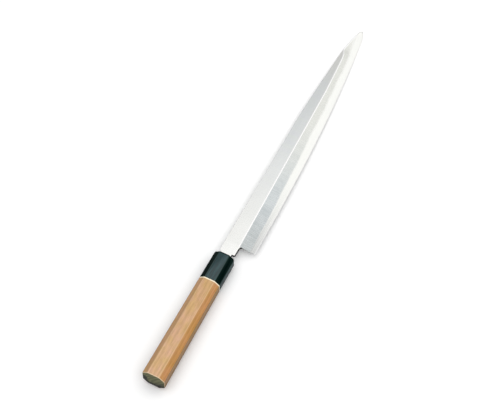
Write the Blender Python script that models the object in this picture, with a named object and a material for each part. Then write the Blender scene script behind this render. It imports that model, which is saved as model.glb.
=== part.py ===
# Fuguhiki: a long, thin single-bevel slicing knife, lying on its hollow back as it does on a table.
# The blade is soft iron forge-welded to a thin layer of hard steel, and its hidden tang sits in an
# octagonal wooden grip with a horn ferrule.
# Pieces are modelled in the knife's own frame: X runs along the handle's axis from the butt to the
# tip, Y points to the spine and Z to the front face, which carries the bevel. Units are metres.

import math

import bmesh
import bpy
from mathutils import Matrix, Vector

MM = 0.001

# Handle: an octagon, a little taller than thick, that tapers from the butt to the ferrule's front.
GRIP_LENGTH = 111.0 * MM
FERRULE_LENGTH = 31.0 * MM
BUTT_HEIGHT = 23.0 * MM
BUTT_THICKNESS = 22.3 * MM
FRONT_HEIGHT = 20.3 * MM
FRONT_THICKNESS = 19.4 * MM
BUTT_CORNER_HEIGHT = 5.6 * MM
BUTT_CORNER_DEPTH = 5.2 * MM
FRONT_CORNER_HEIGHT = 5.1 * MM
FRONT_CORNER_DEPTH = 4.8 * MM
BUTT_EASE = 1.0 * MM
NOSE_RADIUS = 2.4 * MM
FACET_EASE = 0.45 * MM
JOINT_EASE = 0.25 * MM

# Turned tenon of the grip in the bored back of the ferrule.
TENON_RADIUS = 7.4 * MM
TENON_LENGTH = 14.0 * MM
TENON_ROOT = 4.0 * MM
TENON_CHAMFER = 0.8 * MM
TENON_SEGMENTS = 40

# Blade outline. Heights are taken from the handle's axis, lengths from the heel.
BLADE_LENGTH = 270.0 * MM
NECK_LENGTH = 15.5 * MM
SPINE_HEIGHT = 8.1 * MM
HEEL_DEPTH = 23.0 * MM
NECK_DEPTH = 7.8 * MM
SPINE_TAPER = 1.0 * MM
SPINE_BOW = 4.3 * MM
SPINE_BOW_LENGTH = 93.0 * MM
SPINE_BOW_POWER = 1.4
POINT_LENGTH = 27.0 * MM
POINT_DROP = 4.5 * MM
BELLY_POWER = 2.4
TIP_ROUND_ABOVE = 3.1 * MM
TIP_ROUND_BELOW = 3.3 * MM
TIP_ROUND_LENGTH = 15.0 * MM
HEEL_RADIUS = 0.6 * MM
NOTCH_RADIUS = 2.0 * MM

# Tang: shoulders just ahead of the ferrule, then a long taper hidden in the handle.
SHOULDER_GAP = 4.5 * MM
SHOULDER_RADIUS = 1.6 * MM
TANG_LENGTH = 98.0 * MM
TANG_ROOT_TOP = 6.0 * MM
TANG_ROOT_BOTTOM = 4.5 * MM
TANG_END_TOP = 3.6 * MM
TANG_END_BOTTOM = 2.4 * MM
TANG_END_RADIUS = 1.5 * MM

# Cross-section of the blade, measured up from its flat back.
NECK_THICKNESS = 3.2 * MM
POINT_THICKNESS = 1.6 * MM
TIP_THICKNESS = 0.7 * MM
TANG_END_THICKNESS = 2.4 * MM
BEVEL_WIDTH = 16.0 * MM
RIDGE_RISE = 4.5 * MM
RIDGE_SWEEP = 2.2 * MM
RIDGE_SWEEP_LENGTH = 53.0 * MM
RIDGE_SWEEP_POWER = 1.2
RIDGE_HOOK_LENGTH = 12.0 * MM
RIDGE_HOOK_POWER = 2.0
SPINE_EASE = 0.35 * MM
EDGE_BEVEL_WIDTH = 1.2 * MM
EDGE_BEVEL_HEIGHT = 0.40 * MM
EDGE_THICKNESS = 0.08 * MM

# Largest share of the local width or thickness that each small ease may take near the tip.
SPINE_EASE_SHARE = 0.125
EDGE_BEVEL_SHARE = 0.25
EDGE_HEIGHT_SHARE = 0.5

# Hard steel layer and the hollow ground into it.
STEEL_THICKNESS = 0.95 * MM
STEEL_TIP_THICKNESS = 0.80 * MM
STEEL_BULGE = 0.25 * MM
STEEL_INTO_NECK = 5.0 * MM
HOLLOW_RADIUS = 180.0 * MM
HOLLOW_SPINE_RIM = 2.4 * MM
HOLLOW_EDGE_RIM = 1.8 * MM
HOLLOW_HEEL_RIM = 3.0 * MM
HOLLOW_POINT_RIM = 22.0 * MM
HOLLOW_RUNOUT = 12.0 * MM

# Fits between the pieces.
CLEARANCE = 0.3 * MM
BOND_GAP = 0.05 * MM
TANG_HOLE_SPARE = 3.0 * MM
SOCKET_SPARE = 1.0 * MM

# How finely curves are divided.
BLADE_STATIONS = 26
POINT_STATIONS = 14
FILLET_STEPS = 5
HOLLOW_STEPS = 10
NOSE_SEGMENTS = 4

# Room by which a cutting form overshoots the solid that it cuts.
OVERCUT = 1.0 * MM
DEEP_OVERCUT = 6.0 * MM
NARROWEST_GRIND = 1.5 * MM
HAIRLINE = 0.1 * MM

# Places that follow from the sizes above.
HANDLE_LENGTH = GRIP_LENGTH + FERRULE_LENGTH
HEEL_X = HANDLE_LENGTH + NECK_LENGTH
SHOULDER_X = HANDLE_LENGTH + SHOULDER_GAP
TANG_END_X = HANDLE_LENGTH - TANG_LENGTH
RIDGE_END = BLADE_LENGTH - POINT_LENGTH
BACK_Z = -NECK_THICKNESS / 2


def mix(start, end, share):
    """Value that lies the given share of the way from start to end."""
    return start + (end - start) * share


def add_object(name, bm, material=None):
    """Turn a bmesh into a named object with outward faces."""
    bmesh.ops.recalc_face_normals(bm, faces=bm.faces)
    mesh = bpy.data.meshes.new(name)
    bm.to_mesh(mesh)
    bm.free()
    obj = bpy.data.objects.new(name, mesh)
    bpy.context.scene.collection.objects.link(obj)
    if material:
        mesh.materials.append(material)
    return obj


def loft(rings):
    """Closed bmesh skin through rings with equal numbers of points, capped at both ends."""
    bm = bmesh.new()
    layers = [[bm.verts.new(point) for point in ring] for ring in rings]
    count = len(rings[0])
    for near, far in zip(layers, layers[1:]):
        for i in range(count):
            j = (i + 1) % count
            bm.faces.new((near[i], near[j], far[j], far[i]))
    bm.faces.new(layers[0])
    bm.faces.new(layers[-1])
    return bm


def cutter(name, bm):
    """Form used only by Boolean modifiers, shown as wire and never rendered."""
    obj = add_object(name, bm)
    obj.display_type = "WIRE"
    obj.hide_render = True
    return obj


def cut(obj, form, operation):
    """Add an exact Boolean of the form to the object."""
    modifier = obj.modifiers.new(form.name, "BOOLEAN")
    modifier.solver = "EXACT"
    modifier.operation = operation
    modifier.object = form


def make_material(name, color, roughness, metallic):
    """Principled material of one colour."""
    material = bpy.data.materials.new(name)
    material.use_nodes = True
    shader = material.node_tree.nodes["Principled BSDF"]
    shader.inputs["Base Color"].default_value = (*color, 1.0)
    shader.inputs["Roughness"].default_value = roughness
    shader.inputs["Metallic"].default_value = metallic
    return material


def fillet(before, corner, after, radius):
    """Points of the arc that rounds a corner between two straight sides."""
    before, corner, after = Vector(before), Vector(corner), Vector(after)
    back = (before - corner).normalized()
    ahead = (after - corner).normalized()
    half = back.angle(ahead) / 2
    centre = corner + (back + ahead).normalized() * (radius / math.sin(half))
    first = corner + back * (radius / math.tan(half)) - centre
    last = corner + ahead * (radius / math.tan(half)) - centre
    turn = first.angle_signed(last)
    points = []
    for step in range(FILLET_STEPS + 1):
        arm = first.copy()
        arm.rotate(Matrix.Rotation(-turn * step / FILLET_STEPS, 2))
        points.append(centre + arm)
    return points


def grown(along, end, length, power=1.0):
    """Share, from 0 to 1, that has built up over the given length before the end."""
    share = min(max((along - end + length) / length, 0.0), 1.0)
    return share ** power


def tip_round(along):
    """Share, from 0 to 1, by which the outline has curled in towards the tip."""
    share = grown(along, BLADE_LENGTH, TIP_ROUND_LENGTH)
    return 1.0 - math.sqrt(1.0 - share ** 2)


def spine_y(along):
    """Height of the spine: a slight taper, a bow, the fall past the ridge's end, a round tip."""
    taper = SPINE_TAPER * grown(along, RIDGE_END, RIDGE_END)
    bow = SPINE_BOW * grown(along, RIDGE_END, SPINE_BOW_LENGTH, SPINE_BOW_POWER)
    point = POINT_DROP * grown(along, BLADE_LENGTH, POINT_LENGTH)
    return SPINE_HEIGHT - taper - bow - point - TIP_ROUND_ABOVE * tip_round(along)


def edge_y(along):
    """Height of the cutting edge: nearly straight at the heel, a long belly, a small round tip."""
    belly = spine_y(BLADE_LENGTH) + HEEL_DEPTH - TIP_ROUND_BELOW
    rise = belly * grown(along, BLADE_LENGTH, BLADE_LENGTH, BELLY_POWER)
    return -HEEL_DEPTH + rise + TIP_ROUND_BELOW * tip_round(along)


def ridge_y(along):
    """Height of the ridge between the flat and the bevel, which hooks up to meet the spine."""
    start = BEVEL_WIDTH - HEEL_DEPTH
    hook = spine_y(RIDGE_END) - start - RIDGE_RISE - RIDGE_SWEEP
    rise = RIDGE_RISE * grown(along, RIDGE_END, RIDGE_END)
    sweep = RIDGE_SWEEP * grown(along, RIDGE_END, RIDGE_SWEEP_LENGTH, RIDGE_SWEEP_POWER)
    return start + rise + sweep + hook * grown(along, RIDGE_END, RIDGE_HOOK_LENGTH, RIDGE_HOOK_POWER)


def thickness(along):
    """Height of the front face above the back, from the tang's end to the tip."""
    if along < -NECK_LENGTH:
        return mix(NECK_THICKNESS, TANG_END_THICKNESS, (-NECK_LENGTH - along) / TANG_LENGTH)
    if along < 0.0:
        return NECK_THICKNESS
    if along < RIDGE_END:
        return mix(NECK_THICKNESS, POINT_THICKNESS, along / RIDGE_END)
    return mix(POINT_THICKNESS, TIP_THICKNESS, (along - RIDGE_END) / POINT_LENGTH)


def steel_thickness(along):
    """Thickness of the hard steel layer, a little more halfway along the blade."""
    share = along / BLADE_LENGTH
    bulge = STEEL_BULGE * max(math.sin(math.pi * share), 0.0)
    return mix(STEEL_THICKNESS, STEEL_TIP_THICKNESS, share) + bulge


def blade_stations():
    """Distances from the heel at which the blade is sampled, closest at the ridge's end and the tip."""
    body = [math.sin(math.pi / 2 * i / BLADE_STATIONS) for i in range(BLADE_STATIONS)]
    bend = [math.sin(math.pi / 2 * i / POINT_STATIONS) for i in range(POINT_STATIONS + 1)]
    stations = [RIDGE_END * share for share in body]
    return stations + [RIDGE_END + POINT_LENGTH * share for share in bend]


def tang_top(x):
    """Upper edge of the tang at x."""
    return mix(TANG_ROOT_TOP, TANG_END_TOP, (HANDLE_LENGTH - x) / TANG_LENGTH)


def tang_bottom(x):
    """Lower edge of the tang at x."""
    return -mix(TANG_ROOT_BOTTOM, TANG_END_BOTTOM, (HANDLE_LENGTH - x) / TANG_LENGTH)


def blank_outline():
    """Outline of blade, neck and tang in the XY plane, before anything is ground."""
    tang_low = (TANG_END_X, tang_bottom(TANG_END_X))
    tang_high = (TANG_END_X, tang_top(TANG_END_X))
    root_low = (SHOULDER_X, tang_bottom(SHOULDER_X))
    root_high = (SHOULDER_X, tang_top(SHOULDER_X))
    shoulder_low = (SHOULDER_X, -NECK_DEPTH)
    shoulder_high = (SHOULDER_X, SPINE_HEIGHT)
    notch = (HEEL_X, -NECK_DEPTH)
    heel = (HEEL_X, -HEEL_DEPTH)
    heel_spine = (HEEL_X, SPINE_HEIGHT)
    stations = blade_stations()
    first_edge = (HEEL_X + stations[1], edge_y(stations[1]))
    outline = fillet(tang_high, tang_low, root_low, TANG_END_RADIUS)
    outline.append(Vector(root_low))
    outline += fillet(root_low, shoulder_low, notch, SHOULDER_RADIUS)
    outline += fillet(shoulder_low, notch, heel, NOTCH_RADIUS)
    outline += fillet(notch, heel, first_edge, HEEL_RADIUS)
    outline += [Vector((HEEL_X + u, edge_y(u))) for u in stations[1:]]
    outline += [Vector((HEEL_X + u, spine_y(u))) for u in reversed(stations[:-1])]
    outline += fillet(heel_spine, shoulder_high, root_high, SHOULDER_RADIUS)
    outline.append(Vector(root_high))
    outline += fillet(root_high, tang_high, tang_low, TANG_END_RADIUS)
    return outline


def blank():
    """Flat bar with the blade's outline, thicker than the finished blade."""
    outline = blank_outline()
    top = BACK_Z + NECK_THICKNESS + OVERCUT
    return loft([[(p.x, p.y, z) for p in outline] for z in (BACK_Z, top)])


def grind_form():
    """Solid whose top is the ground front: eased spine, flat, ridge, bevel and fine edge bevel."""
    runs = blade_stations()
    runs = [TANG_END_X - HEEL_X - OVERCUT, -NECK_LENGTH] + runs + [BLADE_LENGTH + OVERCUT]
    rings = []
    for along in runs:
        low, high = edge_y(along), spine_y(along)
        spread = max(NARROWEST_GRIND - (high - low), 0.0) / 2
        low, high = low - spread, high + spread
        ease = min(SPINE_EASE, (high - low) * SPINE_EASE_SHARE)
        fine = min(EDGE_BEVEL_WIDTH, (high - low) * EDGE_BEVEL_SHARE)
        front = thickness(along)
        fine_height = min(EDGE_BEVEL_HEIGHT, front * EDGE_HEIGHT_SHARE)
        fall = (fine_height - EDGE_THICKNESS) / fine
        ridge = min(ridge_y(along), high - ease - HAIRLINE)
        profile = [
            (high + OVERCUT, front - OVERCUT - ease),
            (high - ease, front),
            (ridge, front),
            (low + fine, fine_height),
            (low - OVERCUT, EDGE_THICKNESS - fall * OVERCUT),
            (low - OVERCUT, -DEEP_OVERCUT),
            (high + OVERCUT, -DEEP_OVERCUT),
        ]
        rings.append([(HEEL_X + along, y, BACK_Z + z) for y, z in profile])
    return cutter("grind_form", loft(rings))


def steel_zone(name, gap):
    """Space below the weld, from the neck to past the tip, grown by a gap on the iron's side."""
    low, high = -HEEL_DEPTH - OVERCUT, SPINE_HEIGHT + OVERCUT
    rings = []
    for along in [-STEEL_INTO_NECK - gap] + blade_stations() + [BLADE_LENGTH + OVERCUT]:
        x = HEEL_X + along
        top = BACK_Z + steel_thickness(along) + gap
        bottom = BACK_Z - DEEP_OVERCUT
        rings.append([(x, low, bottom), (x, high, bottom), (x, high, top), (x, low, top)])
    return cutter(name, loft(rings))


def hollow_form():
    """Scoop of a large grinding wheel along the back, leaving a flat rim all round."""
    start = HOLLOW_HEEL_RIM
    length = BLADE_LENGTH - HOLLOW_POINT_RIM - start
    rings = []
    for i in range(BLADE_STATIONS + 1):
        along = start + length * i / BLADE_STATIONS
        top = spine_y(along) - HOLLOW_SPINE_RIM
        bottom = edge_y(along) + HOLLOW_EDGE_RIM
        middle, half = (top + bottom) / 2, (top - bottom) / 2
        runout = min(along - start, start + length - along, HOLLOW_RUNOUT) / HOLLOW_RUNOUT
        depth = half ** 2 / (2 * HOLLOW_RADIUS) * (1.0 - (1.0 - runout) ** 2)
        reach = half + OVERCUT
        ring = []
        for step in range(HOLLOW_STEPS + 1):
            across = mix(-reach, reach, step / HOLLOW_STEPS)
            rise = depth - across ** 2 / (2 * HOLLOW_RADIUS)
            ring.append((HEEL_X + along, middle + across, BACK_Z + rise))
        ring.append((HEEL_X + along, middle + reach, BACK_Z - DEEP_OVERCUT))
        ring.append((HEEL_X + along, middle - reach, BACK_Z - DEEP_OVERCUT))
        rings.append(ring)
    return cutter("hollow_form", loft(rings))


def tang_hole_form():
    """Tapered slot burnt for the tang, a clearance larger than it all round."""
    rings = []
    for x in (TANG_END_X - TANG_HOLE_SPARE, HANDLE_LENGTH + OVERCUT):
        low, high = tang_bottom(x) - CLEARANCE, tang_top(x) + CLEARANCE
        back = BACK_Z - CLEARANCE
        front = BACK_Z + thickness(x - HEEL_X) + CLEARANCE
        rings.append([(x, low, back), (x, high, back), (x, high, front), (x, low, front)])
    return cutter("tang_hole_form", loft(rings))


def handle_ring(x):
    """Octagonal section of the handle at x."""
    share = x / HANDLE_LENGTH
    height = mix(BUTT_HEIGHT, FRONT_HEIGHT, share) / 2
    depth = mix(BUTT_THICKNESS, FRONT_THICKNESS, share) / 2
    flat_y = height - mix(BUTT_CORNER_HEIGHT, FRONT_CORNER_HEIGHT, share)
    flat_z = depth - mix(BUTT_CORNER_DEPTH, FRONT_CORNER_DEPTH, share)
    quarter = [(height, flat_z), (flat_y, depth)]
    upper = quarter + [(-y, z) for y, z in reversed(quarter)]
    return [(x, y, z) for y, z in upper + [(-y, -z) for y, z in upper]]


def octagon_body(start, end, start_ease, end_ease):
    """Tapered octagonal bar whose edges are marked with the width that eases each of them."""
    bm = loft([handle_ring(start), handle_ring(end)])
    largest = max(start_ease, end_ease)
    weight = bm.edges.layers.float.new("bevel_weight_edge")
    middle = (start + end) / 2
    for edge in bm.edges:
        lengthwise = (edge.verts[0].co.x < middle) != (edge.verts[1].co.x < middle)
        at_start = edge.verts[0].co.x < middle
        ease = FACET_EASE if lengthwise else start_ease if at_start else end_ease
        edge[weight] = ease / largest
    return bm


def ease_edges(obj, width):
    """Round the marked edges, each by its own share of the width."""
    modifier = obj.modifiers.new("eased_edges", "BEVEL")
    modifier.limit_method = "WEIGHT"
    modifier.width = width
    modifier.segments = NOSE_SEGMENTS
    obj.data.shade_smooth()


def turned_form(name, profile):
    """Round form about the handle's axis through (x, radius) points."""
    rings = []
    for x, radius in profile:
        turns = [2 * math.pi * i / TENON_SEGMENTS for i in range(TENON_SEGMENTS)]
        rings.append([(x, radius * math.cos(a), radius * math.sin(a)) for a in turns])
    return cutter(name, loft(rings))


def make_grip(tang_hole):
    """Wooden grip with a turned tenon in front and the tang's hole along its axis."""
    wood = make_material("pale_wood", (0.66, 0.43, 0.23), 0.55, 0.0)
    shoulder = GRIP_LENGTH - BOND_GAP / 2
    obj = add_object("grip", octagon_body(0.0, shoulder, BUTT_EASE, JOINT_EASE), wood)
    ease_edges(obj, BUTT_EASE)
    tenon_end = GRIP_LENGTH + TENON_LENGTH
    tenon = turned_form("tenon_form", [
        (GRIP_LENGTH - TENON_ROOT, TENON_RADIUS),
        (tenon_end - TENON_CHAMFER, TENON_RADIUS),
        (tenon_end, TENON_RADIUS - TENON_CHAMFER),
    ])
    cut(obj, tenon, "UNION")
    cut(obj, tang_hole, "DIFFERENCE")
    return [obj, tenon]


def make_ferrule(tang_hole):
    """Horn ferrule: rounded nose, slot for the tang, and a bored socket for the grip's tenon."""
    horn = make_material("black_horn", (0.012, 0.022, 0.024), 0.22, 0.0)
    back = GRIP_LENGTH + BOND_GAP / 2
    obj = add_object("ferrule", octagon_body(back, HANDLE_LENGTH, JOINT_EASE, NOSE_RADIUS), horn)
    ease_edges(obj, NOSE_RADIUS)
    socket_radius = TENON_RADIUS + CLEARANCE
    socket = turned_form("socket_form", [
        (GRIP_LENGTH - OVERCUT, socket_radius),
        (GRIP_LENGTH + TENON_LENGTH + SOCKET_SPARE, socket_radius),
    ])
    cut(obj, socket, "DIFFERENCE")
    cut(obj, tang_hole, "DIFFERENCE")
    return [obj, socket]


def make_blade_iron(ground_front):
    """Soft iron: flat, ridge, most of the bevel, the spine, the neck and the tang."""
    iron = make_material("soft_iron", (0.76, 0.78, 0.79), 0.30, 1.0)
    obj = add_object("blade_iron", blank(), iron)
    recess = steel_zone("steel_recess", BOND_GAP)
    cut(obj, ground_front, "INTERSECT")
    cut(obj, recess, "DIFFERENCE")
    return [obj, recess]


def make_edge_steel(ground_front):
    """Hard steel: the whole back with its hollow, and the bright strip along the edge."""
    steel = make_material("hard_steel", (0.86, 0.86, 0.84), 0.16, 1.0)
    obj = add_object("edge_steel", blank(), steel)
    layer = steel_zone("steel_layer", 0.0)
    hollow = hollow_form()
    cut(obj, ground_front, "INTERSECT")
    cut(obj, layer, "INTERSECT")
    cut(obj, hollow, "DIFFERENCE")
    return [obj, layer, hollow]


def finished_points(obj):
    """Corner points of a piece with all of its modifiers, in the knife's frame."""
    graph = bpy.context.evaluated_depsgraph_get()
    finished = obj.evaluated_get(graph)
    points = [vertex.co.copy() for vertex in finished.to_mesh().vertices]
    finished.to_mesh_clear()
    return points


def resting_pose(handle_points, blade_points):
    """Turn and move that lay the knife on the ground, on the ferrule's nose and the blade's tip."""
    tip = max(blade_points, key=lambda p: (p.x, -p.z))
    lower = [p for p in handle_points if p.z < tip.z]
    tilt = max(math.atan2(tip.z - p.z, tip.x - p.x) for p in lower)
    turn = Matrix.Rotation(tilt, 4, "Y")
    turned = [turn @ p for p in handle_points + blade_points]
    middle_x = (min(p.x for p in turned) + max(p.x for p in turned)) / 2
    middle_y = (min(p.y for p in turned) + max(p.y for p in turned)) / 2
    lowest = min(p.z for p in turned)
    return Matrix.Translation((-middle_x, -middle_y, -lowest)) @ turn


def main():
    for obj in list(bpy.data.objects):
        bpy.data.objects.remove(obj)
    ground_front = grind_form()
    tang_hole = tang_hole_form()
    grip = make_grip(tang_hole)
    ferrule = make_ferrule(tang_hole)
    iron = make_blade_iron(ground_front)
    steel = make_edge_steel(ground_front)
    handle_points = finished_points(grip[0]) + finished_points(ferrule[0])
    blade_points = finished_points(iron[0]) + finished_points(steel[0])
    knife = bpy.data.objects.new("knife_at_rest", None)
    bpy.context.scene.collection.objects.link(knife)
    knife.matrix_world = resting_pose(handle_points, blade_points)
    for obj in grip + ferrule + iron + steel + [ground_front, tang_hole]:
        obj.parent = knife


main()
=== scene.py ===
# Looks of a fuguhiki: a long single-bevel slicing knife with a laminated blade, a horn ferrule and
# an octagonal wooden grip, lying on a plain pale floor.
# Pieces are shaped in the knife's own frame and then laid down as the solids lie: X runs from the
# butt to the tip, Y points to the spine and Z to the bevelled front of the blade.
# Units are metres.

import math
from types import SimpleNamespace

import bmesh
import bpy
from mathutils import Euler, Matrix, Vector


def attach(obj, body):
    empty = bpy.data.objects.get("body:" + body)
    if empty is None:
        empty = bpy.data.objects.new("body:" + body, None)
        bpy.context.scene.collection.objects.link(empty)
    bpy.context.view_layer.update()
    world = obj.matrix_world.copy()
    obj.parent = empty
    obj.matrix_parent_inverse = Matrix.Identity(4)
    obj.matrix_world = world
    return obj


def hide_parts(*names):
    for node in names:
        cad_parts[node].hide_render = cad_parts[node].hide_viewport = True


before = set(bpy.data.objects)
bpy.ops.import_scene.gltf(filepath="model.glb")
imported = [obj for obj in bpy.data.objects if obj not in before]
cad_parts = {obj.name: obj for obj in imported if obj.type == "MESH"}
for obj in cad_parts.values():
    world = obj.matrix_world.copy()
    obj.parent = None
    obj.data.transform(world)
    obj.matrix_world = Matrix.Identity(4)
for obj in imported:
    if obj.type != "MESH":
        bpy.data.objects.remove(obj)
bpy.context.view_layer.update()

MM = 0.001

# How the knife lies: on the ferrule's nose and the blade's tip.
REST_TILT = math.radians(1.616451)
REST_PLACE = (-0.21350637, 0.00575447, 0.01365856)
LAID_DOWN = Matrix.Translation(REST_PLACE) @ Matrix.Rotation(REST_TILT, 4, "Y")

# Handle.
GRIP_LENGTH = 111.0 * MM
FERRULE_LENGTH = 31.0 * MM
HANDLE_LENGTH = GRIP_LENGTH + FERRULE_LENGTH
BUTT_HEIGHT = 23.0 * MM
BUTT_THICKNESS = 22.3 * MM
FRONT_HEIGHT = 20.3 * MM
FRONT_THICKNESS = 19.4 * MM
BUTT_CORNER_HEIGHT = 5.6 * MM
BUTT_CORNER_DEPTH = 5.2 * MM
FRONT_CORNER_HEIGHT = 5.1 * MM
FRONT_CORNER_DEPTH = 4.8 * MM
BUTT_ACROSS_CORNERS = (BUTT_HEIGHT + BUTT_THICKNESS - BUTT_CORNER_HEIGHT) / 2
BUTT_EASE = 1.4 * MM
NOSE_ROUND = 2.4 * MM
FACET_EASE = 0.75 * MM
JOINT_EASE = 0.35 * MM
FERRULE_BACK_EASE = 0.2 * MM
TENON_RADIUS = 7.4 * MM
TENON_LENGTH = 14.0 * MM
TENON_ROOT = 4.0 * MM
FIT_GAP = 0.3 * MM
TOUCHING = 0.01 * MM
TANG_HOLE_SPARE = 3.0 * MM
SOCKET_SPARE = 1.0 * MM

# Tang and neck.
NECK_LENGTH = 15.5 * MM
NECK_DEPTH = 7.8 * MM
SHOULDER_GAP = 4.5 * MM
SHOULDER_ROUND = 1.6 * MM
TANG_LENGTH = 98.0 * MM
TANG_ROOT_TOP = 6.0 * MM
TANG_ROOT_BOTTOM = 4.5 * MM
TANG_END_TOP = 3.6 * MM
TANG_END_BOTTOM = 2.4 * MM
TANG_END_ROUND = 1.5 * MM
HEEL_ROUND = 0.6 * MM
NOTCH_ROUND = 2.0 * MM
HEEL_X = HANDLE_LENGTH + NECK_LENGTH
SHOULDER_X = HANDLE_LENGTH + SHOULDER_GAP
TANG_END_X = HANDLE_LENGTH - TANG_LENGTH
NECK_THICKNESS = 3.2 * MM
BACK_Z = -NECK_THICKNESS / 2

# Blade: lengths from the heel, heights from the handle's axis, thicknesses from the flat back.
BLADE_SIZES = {
    "length": 270.0 * MM,
    "ridge end": 243.0 * MM,
    "spine height": 8.1 * MM,
    "spine taper": 1.0 * MM,
    "spine bow": 4.3 * MM,
    "spine bow length": 93.0 * MM,
    "point drop": 4.5 * MM,
    "tip round above": 3.1 * MM,
    "tip round below": 3.3 * MM,
    "tip round length": 15.0 * MM,
    "heel depth": 23.0 * MM,
    "bevel width": 16.0 * MM,
    "ridge rise": 4.5 * MM,
    "ridge sweep": 2.2 * MM,
    "ridge sweep length": 53.0 * MM,
    "ridge hook length": 12.0 * MM,
    "ridge round": 0.7 * MM,
    "tang end thickness": 2.4 * MM,
    "neck thickness": NECK_THICKNESS,
    "neck length": NECK_LENGTH,
    "tang length": TANG_LENGTH,
    "point thickness": 1.6 * MM,
    "tip thickness": 0.7 * MM,
    "spine ease": 0.35 * MM,
    "edge bevel width": 1.2 * MM,
    "edge bevel height": 0.40 * MM,
    "edge thickness": 0.08 * MM,
    "steel thickness": 0.95 * MM,
    "steel tip thickness": 0.80 * MM,
    "steel bulge": 0.25 * MM,
    "weld wave": 0.03 * MM,
    "wheel radius": 180.0 * MM,
    "hollow spine rim": 2.4 * MM,
    "hollow edge rim": 1.8 * MM,
    "hollow heel rim": 3.0 * MM,
    "hollow point rim": 22.0 * MM,
    "hollow runout": 12.0 * MM,
}
SPINE_BOW_POWER = 1.4
BELLY_POWER = 2.4
RIDGE_SWEEP_POWER = 1.2
RIDGE_HOOK_POWER = 2.0
STEEL_INTO_NECK = 5.0 * MM
OVERCUT = 1.0 * MM
DEEP = 6.0 * MM
NARROWEST_GRIND = 1.0 * MM
SPINE_EASE_SHARE = 1 / 8
EDGE_BEVEL_SHARE = 1 / 4
EDGE_HEIGHT_SHARE = 1 / 2
RIDGE_ROUND_LEFT = 0.05
HOLLOW_LEAST_HALF = 0.05 * MM

# How finely things are divided: steps along an arc or a line, and places where rows stand closer.
# The knife's steps are those of its end, tang, neck, body, the ridge's hook, three parts of the
# point, the overcut and its end.
KNIFE_STEPS = (1, 6, 12, 150, 24, 30, 24, 16, 1, 1)
TANG_END_STEPS = 6
NECK_STEPS = 14
HEEL_STEPS = 8
BODY_STATIONS = 90
POINT_STATIONS = 60
FIRST_EDGE_STATION = 3
FRONT_STEPS = (1, 4, 8, 3, 8)
BACK_STEPS = (2, 16, 2)
WELD_STEPS = 160
CLOSE_ROWS = 5.0 * MM
CLOSEST_ROWS = 0.6 * MM
EASE_SEGMENTS = 8
ROUND_SIDES = 96
MERGE_DISTANCE = 1e-6

# Angles between faces, in degrees, above which an edge is drawn sharp.
SHARP_ON_BLADE = 4.0
SHARP_ON_HANDLE = 35.0

# Waves of the weld: radians a metre, start and share of the named wave.
WELD_WAVES = ((103.0, 0.0, 1.0), (273.0, 1.3, 0.6), (648.0, 0.4, 0.35))


class Num:
    """A number on a node's socket: sums on it add Math nodes to the same tree."""

    def __init__(self, bench, socket):
        self.bench = bench
        self.socket = socket

    def __add__(self, other):
        return self.bench.math("ADD", self, other)

    def __radd__(self, other):
        return self.bench.math("ADD", other, self)

    def __sub__(self, other):
        return self.bench.math("SUBTRACT", self, other)

    def __rsub__(self, other):
        return self.bench.math("SUBTRACT", other, self)

    def __mul__(self, other):
        return self.bench.math("MULTIPLY", self, other)

    def __rmul__(self, other):
        return self.bench.math("MULTIPLY", other, self)

    def __truediv__(self, other):
        return self.bench.math("DIVIDE", self, other)


class Bench:
    """Adds nodes to one tree, for a material, the world or a Geometry Nodes group."""

    def __init__(self, tree):
        self.tree = tree

    def add(self, kind, settings=None, inputs=None):
        """New node of a kind, with its settings made first and then its sockets fed."""
        node = self.tree.nodes.new(kind)
        for name, value in (settings or {}).items():
            setattr(node, name, value)
        for name, value in (inputs or {}).items():
            self.feed(node.inputs[name], value)
        return node

    def feed(self, socket, value):
        """Link a socket, several sockets or a wrapped number, or set a plain value."""
        if isinstance(value, Num):
            value = value.socket
        if isinstance(value, list):
            for each in value:
                self.feed(socket, each)
        elif isinstance(value, bpy.types.NodeSocket):
            self.tree.links.new(value, socket)
        else:
            socket.default_value = value

    def math(self, operation, *values):
        """Math node on numbers, plain or wrapped."""
        node = self.add("ShaderNodeMath", {"operation": operation}, dict(enumerate(values)))
        return Num(self, node.outputs[0])

    def split(self, vector):
        """The three coordinates of a vector socket."""
        node = self.add("ShaderNodeSeparateXYZ", None, {0: vector})
        return [Num(self, socket) for socket in node.outputs]


def either(operation, plain):
    """Function that works on plain numbers, and on wrapped ones by a Math node."""

    def work(*values):
        for value in values:
            if isinstance(value, Num):
                return value.bench.math(operation, *values)
        return plain(*values)

    return work


least = either("MINIMUM", min)
most = either("MAXIMUM", max)
root = either("SQRT", math.sqrt)
sine = either("SINE", math.sin)
raised = either("POWER", pow)
size_of = either("ABSOLUTE", abs)


def limit(value):
    """Value held between 0 and 1."""
    return least(most(value, 0.0), 1.0)


def smooth(value):
    """Soft step from 0 to 1 while the value goes from 0 to 1."""
    share = limit(value)
    return share * share * (3.0 - 2.0 * share)


def mix(start, end, share):
    """Value that lies the given share of the way from start to end."""
    return start + (end - start) * share


# Rules of the blade's lines. They hold for plain numbers and for wrapped ones.


def grown(along, end, length, power=1.0):
    """Share, from 0 to 1, that has built up over the given length before the end."""
    share = limit((along - end + length) / length)
    return share if power == 1.0 else raised(share, power)


def tip_round(size, along):
    """Share, from 0 to 1, by which the outline has curled in towards the tip."""
    share = grown(along, size.length, size.tip_round_length)
    return 1.0 - root(1.0 - share * share)


def spine_line(size, along):
    """Height of the spine: a slight taper, a bow, the fall past the ridge's end, a round tip."""
    taper = size.spine_taper * grown(along, size.ridge_end, size.ridge_end)
    bow = size.spine_bow * grown(along, size.ridge_end, size.spine_bow_length, SPINE_BOW_POWER)
    point = size.point_drop * grown(along, size.length, size.length - size.ridge_end)
    return size.spine_height - taper - bow - point - size.tip_round_above * tip_round(size, along)


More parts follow.
